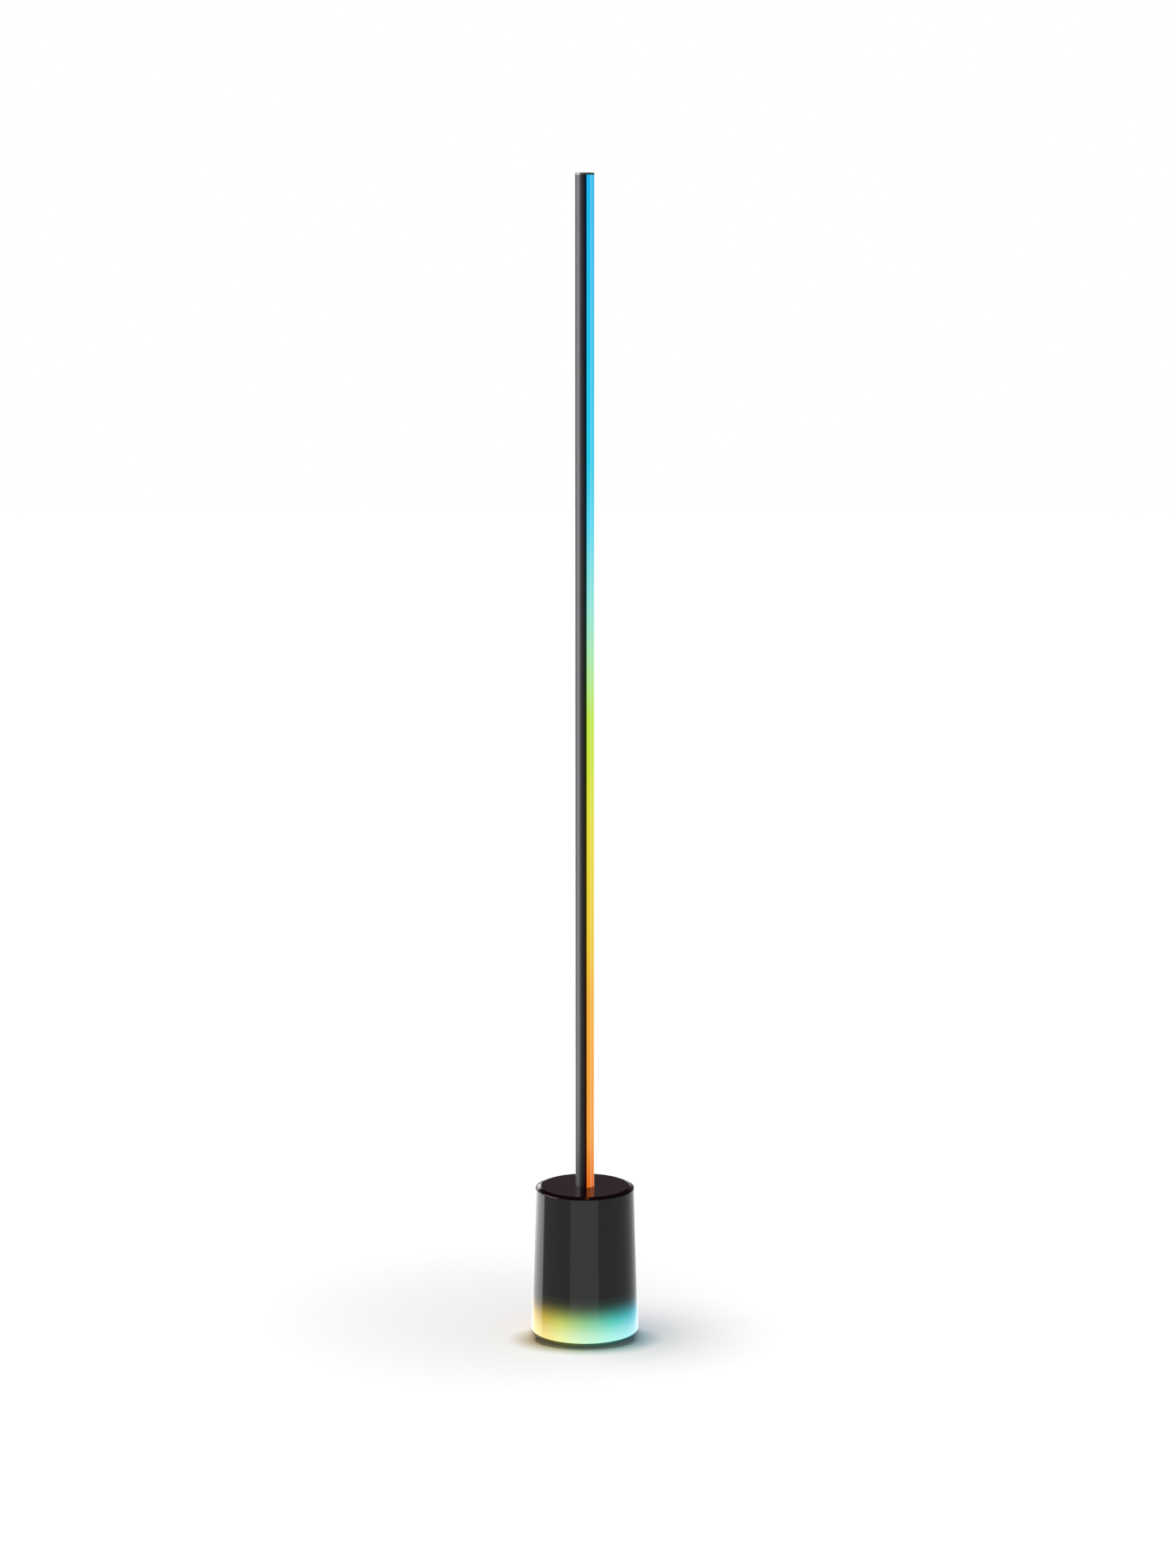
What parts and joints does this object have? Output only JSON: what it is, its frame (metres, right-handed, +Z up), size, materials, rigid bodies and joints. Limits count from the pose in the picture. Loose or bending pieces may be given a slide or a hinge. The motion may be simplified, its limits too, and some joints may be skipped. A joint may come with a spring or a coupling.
{
  "type": "corner floor lamp",
  "caption": "Slim round floor lamp: a tall pole with a light strip under a milky cover, on a weighted tapered drum with a glowing lower edge and a raised round deck.",
  "frame": {"origin": "on the floor under the middle of the drum", "axes": "+Z up along the pole, -Y towards the front of the drum, +Y towards the power inlet, +X the way the pole's light faces"},
  "size_m": [0.1324, 0.1324, 1.42],
  "materials": {
    "black_anodised": "satin black anodised extrusion",
    "light_cover": "milky light cover, lit from inside",
    "gloss_black": "gloss black moulding",
    "smoked_shell": "gloss smoked moulding, opaque above and clear towards its lower edge",
    "black_moulding": "fine textured black moulding",
    "glow_cover": "milky diffuser, lit from inside",
    "board_green": "solder-masked circuit board",
    "board_white": "white circuit board",
    "light_chip": "light chip with a clear window",
    "board_black": "moulded chip and header cases",
    "cast_weight": "cast iron with a thin black coat",
    "steel_black": "black coated steel",
    "screw_steel": "zinc plated steel",
    "brass_pin": "plated contact",
    "pad_rubber": "soft black rubber",
    "lead_cover": "soft black lead cover"
  },
  "bodies": {
    "lamp": {"pole_extrusion": "black_anodised", "pole_diffuser": "light_cover", "top_cap": "black_moulding", "strip_board": "board_white", "strip_leds": "light_chip", "strip_connector": "board_black", "pole_plug": "black_moulding", "plug_screw": "screw_steel", "pole_bolt": "screw_steel", "bolt_washer": "screw_steel", "base_shell": "smoked_shell", "deck_disc": "gloss_black", "deck_screws": "screw_steel", "chassis": "black_moulding", "column": "steel_black", "column_screws": "screw_steel", "counterweight": "cast_weight", "post_screws": "screw_steel", "base_pan": "black_moulding", "foot_pad": "pad_rubber", "pan_screws": "screw_steel", "glow_diffuser": "glow_cover", "glow_board": "board_white", "glow_leds": "light_chip", "glow_screws": "screw_steel", "control_board": "board_green", "board_parts": "board_black", "board_screws": "screw_steel", "inlet_jack": "black_moulding", "inlet_pin": "brass_pin", "inlet_nut": "screw_steel", "button_bezel": "gloss_black", "switch_body": "board_black", "button_board": "board_green", "button_screws": "screw_steel", "inlet_lead": "lead_cover", "button_lead": "lead_cover", "glow_lead": "lead_cover", "strip_lead": "lead_cover"},
    "button": {"power_button": "black_moulding", "switch_plunger": "board_black"}
  },
  "joints": [
    {"name": "button_press", "type": "slide", "parent": "lamp", "child": "button", "axis": [0, -1, 0], "range_m": [0, 0.0008], "stiffness_N_per_m": 400, "springref_m": -0.0015}
  ]
}
